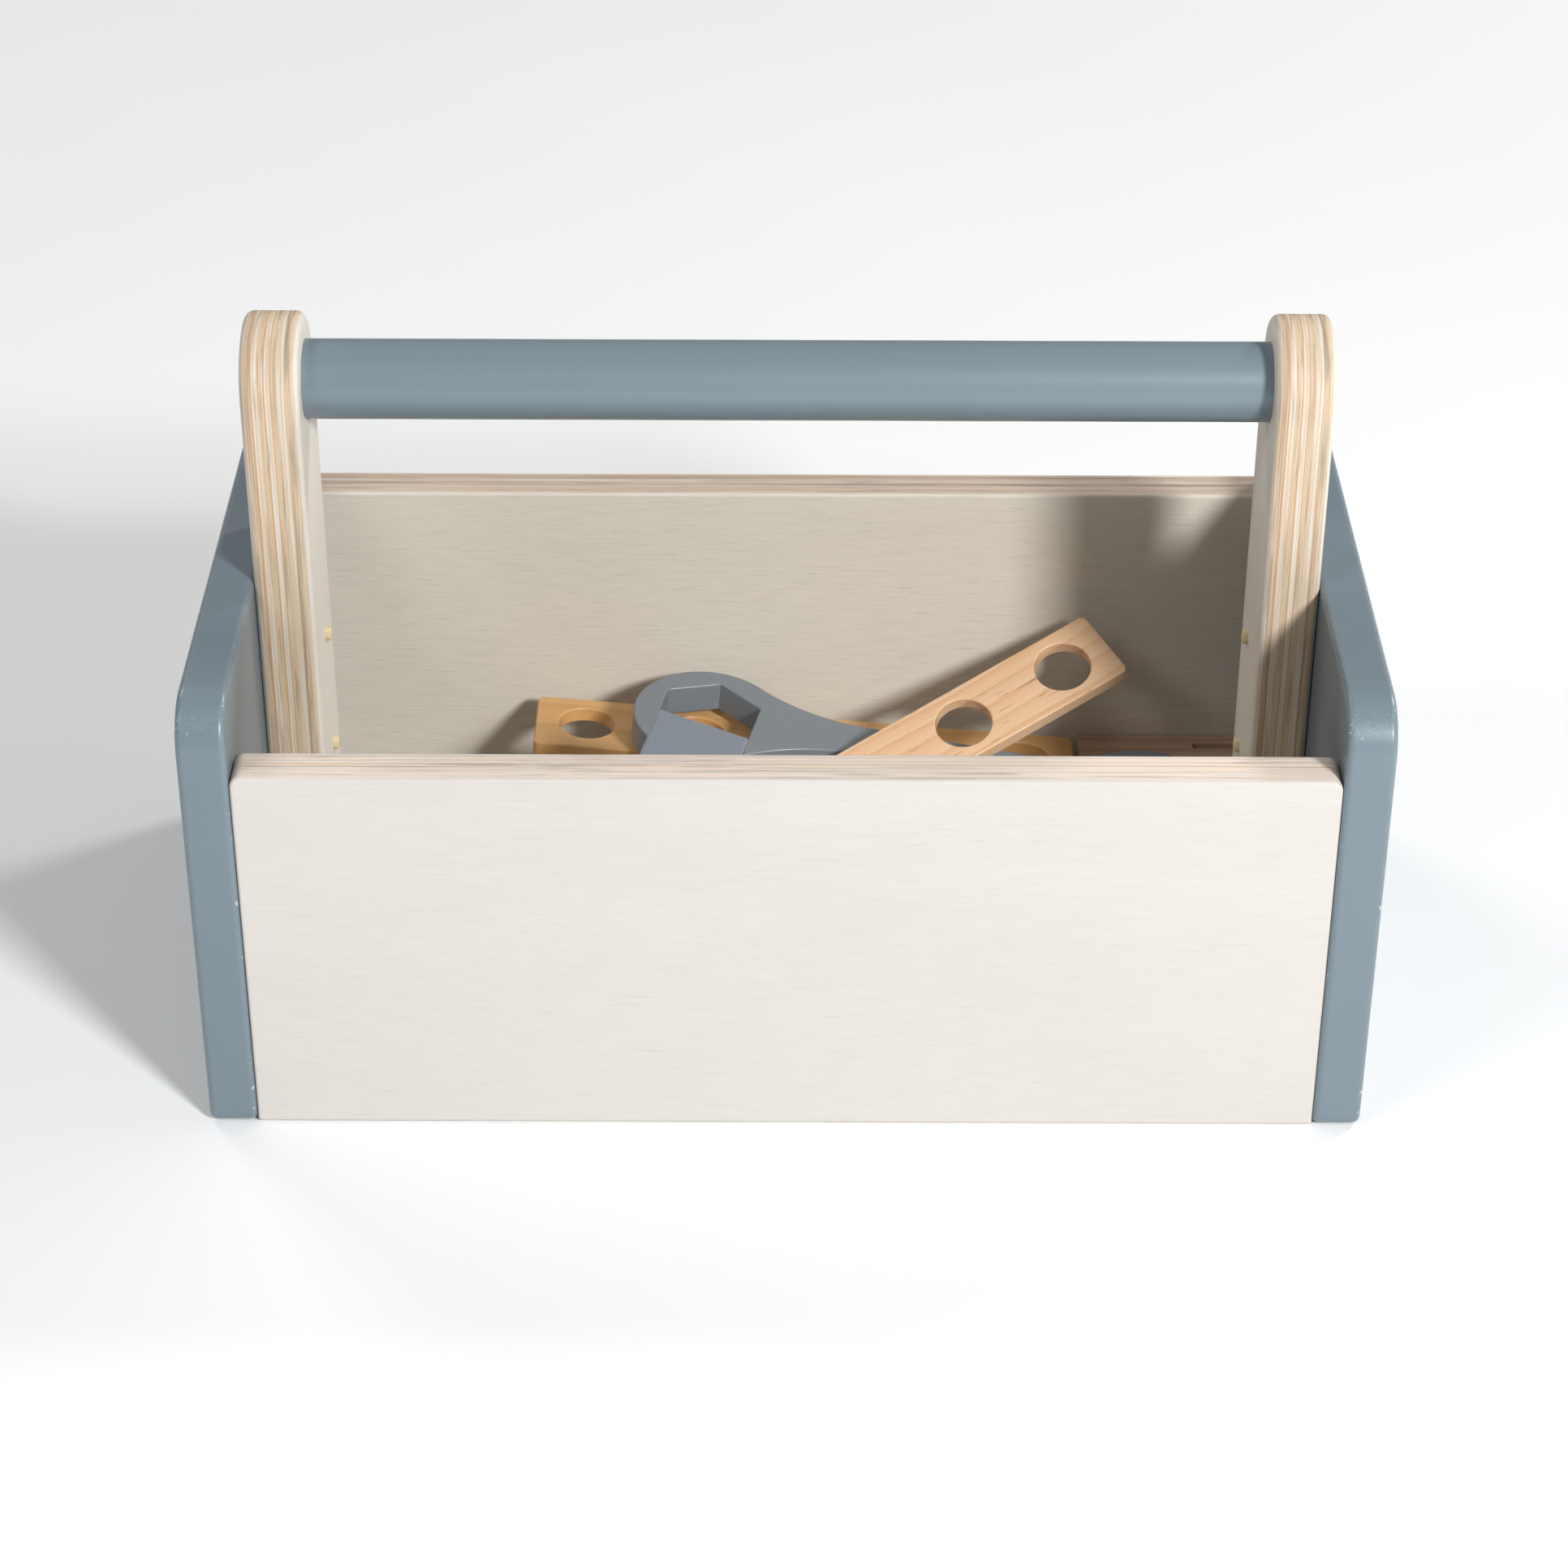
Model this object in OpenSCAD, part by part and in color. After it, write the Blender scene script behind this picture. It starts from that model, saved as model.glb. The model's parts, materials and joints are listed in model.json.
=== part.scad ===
// Child's wooden toolbox: four boards and a floor, two posts carrying a round handle rod,
// and the loose wooden toys that lie in it.
// Origin: centre of the footprint, on the surface that the box stands on.
// +X runs to the right end, +Y to the back, +Z up. Millimetres.

/* [Box] */
// Overall length, outside the end panels
box_len = 300; // [290:1:320]
// Overall depth of the end panels, front to back
box_depth = 163; // [160:1:175]
// Height of the end panels
end_h = 125; // [120:1:135]
// Height of the front and back panels
side_h = 106; // [100:1:112]
// Thickness of the end, front and back panels
board_t = 12.5; // [11:0.5:14]
// Radius of the top corners of the end panels
end_corner_r = 13; // [6:0.5:18]
// Radius of the top corners of the front and back panels
side_corner_r = 3; // [2:0.5:5]
// How far the front and back panels sit in from the edges of the end panels
side_inset = 0.7; // [0.4:0.1:2]
// Thickness of the floor
floor_t = 9; // [8:0.5:9]

/* [Handle] */
// Height of the handle rod's axis
rod_z = 175.25; // [172:0.25:190]
// Diameter of the handle rod
rod_d = 20.5; // [18:0.5:22]
// Width of a post, which is also the diameter of its round top
post_w = 34.5; // [30:0.5:38]
// Thickness of a post
post_t = 15; // [14:0.5:16]
// Depth of the blind socket that holds each end of the rod
socket_depth = 10; // [8:0.5:11]

/* [Pegs and dowels] */
// Diameter of the pegs that pin a post to its end panel
peg_d = 4; // [3:0.5:5]
// How far a peg's end stands out of the post's inner face
peg_proud = 1.5; // [0.5:0.1:2]
// Diameter of the hidden dowels between the boards
dowel_d = 6; // [5:0.5:6]
// Length of the hidden dowels
dowel_len = 24; // [20:1:30]

/* [Holed strips] */
// Thickness of the flat toy strips
strip_t = 4.5; // [4:0.1:4.8]
// Diameter of the round holes in the strips
strip_hole_d = 15.8; // [15:0.1:16]
// Distance from a strip's end to the middle of its first hole
strip_end = 14.6; // [13:0.1:15]
// Length of the amber strip
amber_len = 154; // [150:0.5:154]
// Width of the amber strip
amber_w = 25.5; // [23:0.5:25.5]
// Distance between the amber strip's holes
amber_pitch = 31.2; // [30:0.1:31.2]
// Length of the pine strip
pine_len = 93; // [92:0.5:93]
// Width of the pine strip
pine_w = 23; // [22:0.5:23]
// Distance between the pine strip's holes
pine_pitch = 32.9; // [30:0.1:33]

/* [Spanner] */
// Radius of the ring end
ring_r = 21; // [20:0.2:21]
// Hexagonal hole of the ring end, across flats
ring_flats = 26.8; // [26.5:0.1:28]
// Radius of the open end
jaw_r = 18.8; // [18:0.2:19]
// Mouth of the open end, across its faces
jaw_gap = 17; // [14:0.5:18]
// Distance between the middles of the two ends
spanner_span = 125.7; // [120:0.1:126]
// Width of the spanner's handle
spanner_handle_w = 13.2; // [12:0.2:14]
// Thickness of the spanner
spanner_t = 9.1; // [8.5:0.1:9.2]

/* [Hammer] */
// Side of the hammer head's square section
hammer_side = 25.5; // [24:0.1:25.5]
// Length of the hammer head, face to face
hammer_head_len = 64.4; // [60:0.2:64.4]
// Diameter of the hammer's handle
hammer_grip_d = 13; // [11:0.5:13]
// Length of the handle beyond the middle of the head
hammer_reach = 112; // [95:1:112]

/* [Bolt, nut and slotted block] */
// Size of the bolt's head and of the nut, across flats
hex_flats = 25.8; // [24:0.1:25.8]
// Length of the bolt's head
bolt_head_len = 12; // [10:0.5:12]
// Diameter of the bolt's shank
bolt_d = 15.5; // [14:0.1:15.5]
// Length of the bolt's shank
bolt_len = 60; // [50:1:60]
// Thickness of the nut
nut_t = 15.4; // [13:0.1:15.6]
// Clearance of the nut's bore around the bolt's shank
nut_play = 0.5; // [0.3:0.1:0.8]
// Length of the slotted block
block_len = 52; // [48:0.5:52.5]
// Width of the slotted block
block_w = 12; // [11:0.5:12]
// Height of the slotted block
block_h = 18.2; // [16:0.1:18.4]
// Width of the block's saw cut
saw_cut = 2.6; // [2:0.1:3.2]

/* [Hidden] */
$fn = 96;
paint = "#7b8d98";
paint_light = "#8e9cab";
plywood = "#e6dccb";
peg_wood = "#d8bd84";
amber = "#cfa06a";
pine = "#e2b78e";
beech = "#c39a82";

// Inner faces of the box
inner_x = box_len / 2 - board_t;
side_outer_y = box_depth / 2 - side_inset;
inner_y = side_outer_y - board_t;
floor_z = floor_t;
// Inner face of a post, and the depth of the holes that go on into the end panels
post_face_x = inner_x - post_t;
blind = 8;
post_peg_y = 4;
post_peg_z = [64, 98];
dowel_grip = dowel_len / 2;
side_dowel_z = [18, 53, 88];
floor_dowel_y = [-45, 45];

// Clearance between a loose piece and the board it lies on or stands against
lie = 0.25;
// Where the loose pieces lie: a corner or centre of the piece, then its turns about X, Y and Z
amber_at = [-71.2, 62.4, 43.6];
amber_turn = [0, 5, 0];
pine_at = [83.6, 60.3, 72.2];
pine_turn = [18, -17.2, 27.2];
spanner_at = [-22.1, 42, 50.2];
spanner_turn = [3.1, 5.9, -8.4];
hammer_at = [-34.1, -1.3, 78.5];
hammer_turn = [0, 14.7, -11];
nut_at = [61.5, 46, floor_z + lie];
block_at = [84, inner_y - block_w - 2 * lie, floor_z + lie];

// The bolt lies on its head and on the far end of its shank, so its axis slopes down to the right
bolt_tilt = asin((hex_flats - bolt_d) / 2 / bolt_len);
bolt_rise = bolt_head_len * sin(bolt_tilt) + hex_flats / 2 * cos(bolt_tilt);
bolt_at = [-47.2, 47, floor_z + lie + bolt_rise];

// Strip details
strip_corner_r = 1.5;
// Spanner details
ring_hex_turn = 26;
spanner_blend_r = 56;
// The blend's arc cuts this much into the end and the handle, so that it crosses their outlines
blend_bite = 0.08;
jaw_depth = 21;
jaw_turn = 15;
// Slotted block: start of the saw cut from the left end, and its middle from the back face
cut_start = 33.4;
cut_from_back = 5.3;
// Hammer: end of the handle showing through the head, and the round of its grip end
tenon_proud = 1.5;
grip_round = 3;

// Puts a piece down with one point at `at`, turned about X, Y and Z in that order
module place(at, turn) {
    translate(at) rotate(turn) children();
}

// A rod along +X that starts at the origin
module rod_x(d, length) {
    rotate([0, 90, 0]) cylinder(d = d, h = length);
}

// All hidden dowels of one long board: a column at each end, half in the board, half in the end panel
module side_dowels(y) {
    for (side = [-1, 1], z = side_dowel_z)
        translate([side * inner_x - dowel_grip, y, z]) rod_x(dowel_d, dowel_len);
}

// Hidden dowels between the floor and the end panels
module floor_dowels() {
    for (side = [-1, 1], y = floor_dowel_y)
        translate([side * inner_x - dowel_grip, y, floor_t / 2]) rod_x(dowel_d, dowel_len);
}

// The pegs of the right post: through the post and into the end panel
module post_pegs() {
    for (z = post_peg_z)
        translate([post_face_x - peg_proud, post_peg_y, z]) rod_x(peg_d, peg_proud + post_t + blind);
}

// Outline of a board that stands on its lower edge, with its two top corners rounded
module board_outline(width, height, r) {
    translate([-width / 2, 0]) square([width, height - r]);
    translate([-width / 2 + r, 0]) square([width - 2 * r, height]);
    for (side = [-1, 1])
        translate([side * (width / 2 - r), height - r]) circle(r = r);
}

module right_end_board() {
    difference() {
        translate([inner_x, 0, 0]) rotate([90, 0, 90])
            linear_extrude(board_t) board_outline(box_depth, end_h, end_corner_r);
        side_dowels(side_outer_y - board_t / 2);
        side_dowels(-side_outer_y + board_t / 2);
        floor_dowels();
        post_pegs();
    }
}

module left_end_panel() {
    color(paint) mirror([1, 0, 0]) right_end_board();
}

module right_end_panel() {
    color(paint) right_end_board();
}

// A front or back panel; y is the middle of its thickness
module side_board(y) {
    difference() {
        translate([0, y + board_t / 2, 0]) rotate([90, 0, 0])
            linear_extrude(board_t) board_outline(2 * inner_x, side_h, side_corner_r);
        side_dowels(y);
    }
}

module front_panel() {
    color(plywood) side_board(-side_outer_y + board_t / 2);
}

module back_panel() {
    color(plywood) side_board(side_outer_y - board_t / 2);
}

module bottom_panel() {
    color(plywood) difference() {
        translate([-inner_x, -inner_y, 0]) cube([2 * inner_x, 2 * inner_y, floor_t]);
        floor_dowels();
    }
}

// A post stands on the floor against the end panel; its round top is centred on the rod
module right_post() {
    difference() {
        translate([post_face_x, 0, 0]) rotate([90, 0, 90]) linear_extrude(post_t) {
            translate([-post_w / 2, floor_z]) square([post_w, rod_z - floor_z]);
            translate([0, rod_z]) circle(d = post_w);
        }
        translate([post_face_x - 1, 0, rod_z]) rod_x(rod_d, socket_depth + 1);
        post_pegs();
    }
}

module left_upright() {
    color(plywood) mirror([1, 0, 0]) right_post();
}

module right_upright() {
    color(plywood) right_post();
}

module handle_rod() {
    reach = post_face_x + socket_depth;
    color(paint) translate([-reach, 0, rod_z]) rod_x(rod_d, 2 * reach);
}

module left_upright_pins() {
    color(peg_wood) mirror([1, 0, 0]) post_pegs();
}

module right_upright_pins() {
    color(peg_wood) post_pegs();
}

module front_panel_dowels() {
    color(peg_wood) side_dowels(-side_outer_y + board_t / 2);
}

module back_panel_dowels() {
    color(peg_wood) side_dowels(side_outer_y - board_t / 2);
}

module bottom_panel_dowels() {
    color(peg_wood) floor_dowels();
}

// A rectangle from the origin along +X and +Y with rounded corners
module rounded_rect(length, width, r) {
    translate([r, 0]) square([length - 2 * r, width]);
    translate([0, r]) square([length, width - 2 * r]);
    for (x = [r, length - r], y = [r, width - r])
        translate([x, y]) circle(r = r);
}

// A flat strip along +X with a row of holes; its back left corner, on the upper face, is the origin
module holed_strip(length, width, pitch, holes) {
    translate([0, -width, -strip_t]) linear_extrude(strip_t) difference() {
        rounded_rect(length, width, strip_corner_r);
        for (i = [0 : holes - 1])
            translate([strip_end + i * pitch, width / 2]) circle(d = strip_hole_d);
    }
}

module amber_strip() {
    color(amber) place(amber_at, amber_turn) holed_strip(amber_len, amber_w, amber_pitch, 5);
}

// The pine strip is placed by its upper end, so it runs back from there along -X
module pine_strip() {
    color(pine) place(pine_at, pine_turn)
        mirror([1, 0, 0]) holed_strip(pine_len, pine_w, pine_pitch, 3);
}

// A regular hexagon of a given size across flats
module hexagon(flats) {
    circle(d = flats / cos(30), $fn = 6);
}

// One side of the blend between an end of radius r and the straight handle, with the end at the origin
module handle_blend(r) {
    half = spanner_handle_w / 2;
    blend_x = sqrt(pow(r + spanner_blend_r, 2) - pow(half + spanner_blend_r, 2));
    touch = r / (r + spanner_blend_r);
    difference() {
        polygon([[0, 0], [blend_x, 0], [blend_x, half],
            [blend_x * touch, (half + spanner_blend_r) * touch]]);
        translate([blend_x, half + spanner_blend_r]) circle(r = spanner_blend_r + blend_bite, $fn = 240);
    }
}

module spanner_end(r) {
    circle(r = r);
    handle_blend(r);
    mirror([0, 1]) handle_blend(r);
}

// The open end's mouth: parallel faces that close in a point, as on half a hexagon
module jaw_mouth() {
    half = jaw_gap / 2;
    corner = -half * tan(30);
    polygon([[-half / cos(30), 0], [corner, -half], [jaw_depth, -half], [jaw_depth, half], [corner, half]]);
}

// Double-ended spanner: a ring with a hexagonal hole, and an open jaw turned a little off the handle's line.
// The origin is the middle of the ring, on the upper face.
module spanner() {
    color(paint) place(spanner_at, spanner_turn)
        translate([0, 0, -spanner_t]) linear_extrude(spanner_t) difference() {
            union() {
                spanner_end(ring_r);
                translate([0, -spanner_handle_w / 2]) square([spanner_span, spanner_handle_w]);
                translate([spanner_span, 0]) mirror([1, 0]) spanner_end(jaw_r);
            }
            rotate(ring_hex_turn) hexagon(ring_flats);
            translate([spanner_span, 0]) rotate(-jaw_turn) jaw_mouth();
        }
}

// The hammer's own frame: +X along the handle, +Z along the head, origin at the middle of the head.
// hammer_at is the back left corner of the head's upper face.
module hammer_frame() {
    place(hammer_at, hammer_turn) translate([hammer_side / 2, -hammer_side / 2, -hammer_head_len / 2])
        children();
}

module hammer_head() {
    color(paint_light) hammer_frame() difference() {
        cube([hammer_side, hammer_side, hammer_head_len], center = true);
        translate([-hammer_side, 0, 0]) rod_x(hammer_grip_d, 2 * hammer_side);
    }
}

// Turned handle: straight through the head, with a rounded free end
module hammer_handle() {
    start = -hammer_side / 2 - tenon_proud;
    r = hammer_grip_d / 2;
    color(pine) hammer_frame() rotate([0, 90, 0]) rotate_extrude() {
        translate([0, start]) square([r, hammer_reach - grip_round - start]);
        translate([0, hammer_reach - grip_round]) square([r - grip_round, grip_round]);
        intersection() {
            translate([r - grip_round, hammer_reach - grip_round]) circle(r = grip_round);
            translate([r - grip_round, hammer_reach - grip_round]) square(grip_round);
        }
    }
}

// The bolt's axis is +X of its own frame, and the head lies on one of its flats
module hex_bolt() {
    color(beech) place(bolt_at, [0, bolt_tilt, 0]) rotate([0, 90, 0]) {
        rotate(30) linear_extrude(bolt_head_len) hexagon(hex_flats);
        cylinder(d = bolt_d, h = bolt_head_len + bolt_len);
    }
}

// The nut lies flat, with two of its corners to the front and the back
module hex_nut() {
    color(beech) translate(nut_at) linear_extrude(nut_t) difference() {
        rotate(30) hexagon(hex_flats);
        circle(d = bolt_d + nut_play);
    }
}

module slotted_block() {
    cut_y = block_w - cut_from_back - saw_cut / 2;
    color(beech) translate(block_at) linear_extrude(block_h) difference() {
        square([block_len, block_w]);
        translate([cut_start, cut_y]) square([block_len, saw_cut]);
    }
}

left_end_panel();
right_end_panel();
front_panel();
back_panel();
bottom_panel();
left_upright();
right_upright();
handle_rod();
left_upright_pins();
right_upright_pins();
front_panel_dowels();
back_panel_dowels();
bottom_panel_dowels();
hex_bolt();
hex_nut();
amber_strip();
spanner();
pine_strip();
hammer_head();
hammer_handle();
slotted_block();
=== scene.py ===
"""The looks of a child's wooden toolbox and the toys in it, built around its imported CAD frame."""

import json
import math

import bmesh
import bpy
from mathutils import Matrix, Vector, noise

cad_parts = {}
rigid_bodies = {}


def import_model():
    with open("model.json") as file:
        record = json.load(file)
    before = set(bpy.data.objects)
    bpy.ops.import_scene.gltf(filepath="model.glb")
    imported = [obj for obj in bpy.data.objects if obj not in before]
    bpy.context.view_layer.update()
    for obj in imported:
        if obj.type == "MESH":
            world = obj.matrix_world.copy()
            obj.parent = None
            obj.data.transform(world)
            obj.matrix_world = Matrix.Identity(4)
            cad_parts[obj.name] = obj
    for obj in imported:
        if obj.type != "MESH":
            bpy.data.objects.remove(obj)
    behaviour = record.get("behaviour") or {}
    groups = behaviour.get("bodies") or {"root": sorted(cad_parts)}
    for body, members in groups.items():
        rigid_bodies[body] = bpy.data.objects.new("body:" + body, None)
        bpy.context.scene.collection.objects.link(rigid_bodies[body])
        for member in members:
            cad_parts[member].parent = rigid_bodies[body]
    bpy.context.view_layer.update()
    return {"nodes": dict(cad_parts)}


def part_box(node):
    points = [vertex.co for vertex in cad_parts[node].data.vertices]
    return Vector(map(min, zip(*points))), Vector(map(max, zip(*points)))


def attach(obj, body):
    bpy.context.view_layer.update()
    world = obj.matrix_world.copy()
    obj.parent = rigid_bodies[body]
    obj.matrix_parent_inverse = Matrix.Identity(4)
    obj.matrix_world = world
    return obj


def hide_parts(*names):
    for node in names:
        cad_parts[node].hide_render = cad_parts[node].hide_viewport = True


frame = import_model()

MM = 0.001

# Longest gaps between the points of an outline
BOARD_STEP = 4 * MM
TOY_STEP = 3 * MM
HEX_HOLE_STEP = 2 * MM

# Studio: half the floor's width, its drop below the box, the height the lamps aim at, the surround's light
FLOOR_HALF = 6.0
FLOOR_DROP = 0.2 * MM
AIM_HEIGHT = 60 * MM
SURROUND = 0.22

# Colours
BARE_WOOD = (0.62, 0.60, 0.56)
GLUE_BROWN = (0.55, 0.31, 0.14)

# Rounding of the arrises
END_ARRIS = 1.8 * MM
SIDE_ARRIS = 0.9 * MM
POST_ARRIS = 2.2 * MM
STRIP_ARRIS = 0.6 * MM
TOY_ARRIS = 0.9 * MM
SPANNER_ARRIS = 0.6 * MM
FLOOR_ARRIS = 0.3 * MM
BLOCK_ARRIS = 0.25 * MM
ROD_ROUND = 1 * MM
PEG_ROUND = 0.45 * MM
HAMMER_HANDLE_ROUND = 2.4 * MM

# Outlines of the boards
END_CORNER = 13 * MM
END_FOOT_CORNER = 3 * MM
SIDE_CORNER = 3 * MM
SIDE_FOOT_CORNER = 1 * MM

# Strips and their holes
HOLE_R = 7.9 * MM
HOLE_END = 14.6 * MM
AMBER_PITCH = 31.2 * MM
PINE_PITCH = 32.9 * MM
STRIP_CORNER = 1.8 * MM

# Spanner
RING_HEX_FLATS = 26.8 * MM
RING_HEX_TURN = math.radians(26)
BLEND_R = 56 * MM
SPANNER_HANDLE_HALF = 6.6 * MM
JAW_R = 18.8 * MM
JAW_HALF = 8.5 * MM
JAW_TURN = math.radians(-15)

# Nut, bolt and block
BOLT_R = 7.75 * MM
BOLT_HEAD_LEN = 12 * MM
THREAD_PITCH = 4.2 * MM
THREAD_DEPTH = 1.0 * MM
THREAD_POINTS = 8
SHANK_SUNK = 1 * MM
SHANK_PLAIN = 6 * MM
SHANK_CHAMFER = 1.5 * MM
SHANK_TIP_R = BOLT_R - 1.6 * MM
NUT_BORE_R = 8 * MM
SAW_CUT = 2.6 * MM
CUT_START = 33.4 * MM
CUT_FROM_BACK = 5.3 * MM
CUT_ROUGH = 0.28 * MM
CUT_TEETH = 24


# ---------------------------------------------------------------- camera, floor and light


def make_camera():
    """The photograph's viewpoint: in front of the box and above it, looking down on its middle."""
    lens = 87.36
    place = Vector((0.0006, -0.8713, 0.6082))
    pan = math.radians(0.08)
    tilt = math.radians(32.48)
    roll = math.radians(0.17)
    data = bpy.data.cameras.new("camera")
    data.lens = lens
    data.clip_start = 0.01
    camera = bpy.data.objects.new("camera", data)
    bpy.context.scene.collection.objects.link(camera)
    turn = Matrix.Rotation(pan, 4, "Z") @ Matrix.Rotation(math.pi / 2 - tilt, 4, "X")
    camera.matrix_world = Matrix.Translation(place) @ turn @ Matrix.Rotation(roll, 4, "Z")
    bpy.context.scene.camera = camera


def lamp(name, azimuth, height, distance, size, power, colour):
    """A round softbox aimed at the box, placed in degrees: azimuth 0 is in front of it, 90 on its right."""
    around = math.radians(azimuth)
    up = math.radians(height)
    level = math.cos(up)
    way = Vector((math.sin(around) * level, -math.cos(around) * level, math.sin(up)))
    data = bpy.data.lights.new(name, "AREA")
    data.shape = "DISK"
    data.size = size
    data.energy = power
    data.color = colour
    light = bpy.data.objects.new(name, data)
    bpy.context.scene.collection.objects.link(light)
    turn = way.to_track_quat("Z", "Y").to_matrix().to_4x4()
    light.matrix_world = Matrix.Translation(way * distance + Vector((0, 0, AIM_HEIGHT))) @ turn


def make_studio():
    """A white floor, a pale surround and four soft lamps."""
    floor = bpy.data.objects.new("floor", bpy.data.meshes.new("floor"))
    sheet = bmesh.new()
    bmesh.ops.create_grid(sheet, x_segments=4, y_segments=4, size=FLOOR_HALF)
    sheet.to_mesh(floor.data)
    sheet.free()
    bpy.context.scene.collection.objects.link(floor)
    floor.location.z = -FLOOR_DROP
    paper = Shader("floor_paper")
    mottle = paper.noise(paper.objects(), 3.0, 3)
    colour = paper.ramp(mottle, [(0.3, (0.92, 0.92, 0.92)), (0.7, (0.94, 0.94, 0.94))])
    floor.data.materials.append(paper.finish(colour, roughness=0.9))

    world = bpy.data.worlds.new("studio")
    world.use_nodes = True
    world.node_tree.nodes["Background"].inputs["Color"].default_value = (1, 1, 1, 1)
    world.node_tree.nodes["Background"].inputs["Strength"].default_value = SURROUND
    bpy.context.scene.world = world
    bpy.context.scene.view_settings.view_transform = "Standard"

    lamp("key", 34, 32, 1.8, 0.30, 29, (0.97, 0.985, 1.0))
    lamp("fill", -51, 45, 2.4, 0.90, 11, (0.97, 0.985, 1.0))
    lamp("back_right", 125, 34, 2.4, 0.42, 20, (1.0, 0.99, 0.98))
    lamp("back_left", -140, 40, 2.4, 0.80, 10, (1.0, 0.99, 0.98))


# ---------------------------------------------------------------- shaders


class Shader:
    """A node material, with one short call for each kind of node."""

    def __init__(self, name):
        self.material = bpy.data.materials.new(name)
        self.material.use_nodes = True
        self.tree = self.material.node_tree
        self.surface = self.tree.nodes["Principled BSDF"]

    def node(self, kind, **settings):
        made = self.tree.nodes.new(kind)
        for key, value in settings.items():
            setattr(made, key, value)
        return made

    def join(self, source, socket):
        """Links a socket, or sets a plain value."""
        if isinstance(source, bpy.types.NodeSocket):
            self.tree.links.new(source, socket)
        else:
            socket.default_value = source

    def objects(self):
        return self.node("ShaderNodeTexCoord").outputs["Object"]

    def normals(self):
        return self.node("ShaderNodeTexCoord").outputs["Normal"]

    def split(self, vector):
        parts = self.node("ShaderNodeSeparateXYZ")
        self.join(vector, parts.inputs[0])
        return parts.outputs

    def stretch(self, vector, scale, offset=(0, 0, 0)):
        mapping = self.node("ShaderNodeMapping")
        self.join(vector, mapping.inputs["Vector"])
        mapping.inputs["Scale"].default_value = scale
        mapping.inputs["Location"].default_value = offset
        return mapping.outputs[0]

    def noise(self, vector, scale, detail=4.0, rough=0.5, distortion=0.0):
        texture = self.node("ShaderNodeTexNoise")
        self.join(vector, texture.inputs["Vector"])
        texture.inputs["Scale"].default_value = scale
        texture.inputs["Detail"].default_value = detail
        texture.inputs["Roughness"].default_value = rough
        texture.inputs["Distortion"].default_value = distortion
        return texture.outputs["Fac"]

    def shift(self, vector, field, amounts):
        """Moves a vector by a 0 to 1 field, a different amount along each axis."""
        centred = self.math("SUBTRACT", field, 0.5)
        push = self.node("ShaderNodeCombineXYZ")
        for i, amount in enumerate(amounts):
            self.join(self.times(centred, amount), push.inputs[i])
        added = self.node("ShaderNodeVectorMath", operation="ADD")
        self.join(vector, added.inputs[0])
        self.join(push.outputs[0], added.inputs[1])
        return added.outputs[0]

    def specks(self, vector, scale, size, share):
        """1 in dots of a radius given in cells, in that share of the cells; 0 everywhere else."""
        cells = self.node("ShaderNodeTexVoronoi")
        self.join(vector, cells.inputs["Vector"])
        cells.inputs["Scale"].default_value = scale
        dot = self.math("LESS_THAN", cells.outputs["Distance"], size)
        chosen = self.math("LESS_THAN", self.split(cells.outputs["Color"])[0], share)
        return self.times(dot, chosen)

    def stripe_tone(self, number, seed):
        """A random 0 to 1 tone for each whole number."""
        random = self.node("ShaderNodeTexWhiteNoise", noise_dimensions="1D")
        self.join(self.math("ADD", number, seed), random.inputs["W"])
        return random.outputs["Value"]

    def math(self, operation, a, b=0.0):
        sums = self.node("ShaderNodeMath", operation=operation)
        self.join(a, sums.inputs[0])
        self.join(b, sums.inputs[1])
        return sums.outputs[0]

    def times(self, a, b):
        return self.math("MULTIPLY", a, b)

    def inverse(self, mask):
        return self.math("SUBTRACT", 1.0, mask)

    def between(self, value, low, high):
        """0 below low, 1 above high, smooth between them."""
        span = self.node("ShaderNodeMapRange", interpolation_type="SMOOTHSTEP")
        self.join(value, span.inputs["Value"])
        span.inputs["From Min"].default_value = low
        span.inputs["From Max"].default_value = high
        return span.outputs["Result"]

    def ramp(self, value, stops):
        ramp = self.node("ShaderNodeValToRGB")
        self.join(value, ramp.inputs[0])
        points = ramp.color_ramp.elements
        while len(points) < len(stops):
            points.new(0.5)
        for point, (place, colour) in zip(points, stops):
            point.position = place
            point.color = (*colour, 1)
        return ramp.outputs["Color"]

    def mix(self, amount, a, b):
        """Colour a where the amount is 0, and b where it is 1."""
        mixer = self.node("ShaderNodeMix", data_type="RGBA")
        self.join(amount, mixer.inputs["Factor"])
        for colour, socket in ((a, mixer.inputs["A"]), (b, mixer.inputs["B"])):
            self.join(colour if isinstance(colour, bpy.types.NodeSocket) else (*colour, 1), socket)
        return mixer.outputs["Result"]

    def bump(self, height, distance, strength, under=None):
        bump = self.node("ShaderNodeBump")
        self.join(height, bump.inputs["Height"])
        bump.inputs["Distance"].default_value = distance
        bump.inputs["Strength"].default_value = strength
        if under is not None:
            self.join(under, bump.inputs["Normal"])
        return bump.outputs[0]

    def finish(self, colour, roughness, normal=None, specular=0.5, coat=0.0):
        """The finished material."""
        self.join(colour, self.surface.inputs["Base Color"])
        self.join(roughness, self.surface.inputs["Roughness"])
        self.surface.inputs["Specular IOR Level"].default_value = specular
        self.surface.inputs["Coat Weight"].default_value = coat
        self.surface.inputs["Coat Roughness"].default_value = 0.25
        if normal is not None:
            self.join(normal, self.surface.inputs["Normal"])
        return self.material


def tint(colour, factor):
    """The colour, darker or lighter."""
    return tuple(min(1.0, c * factor) for c in colour)


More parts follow.
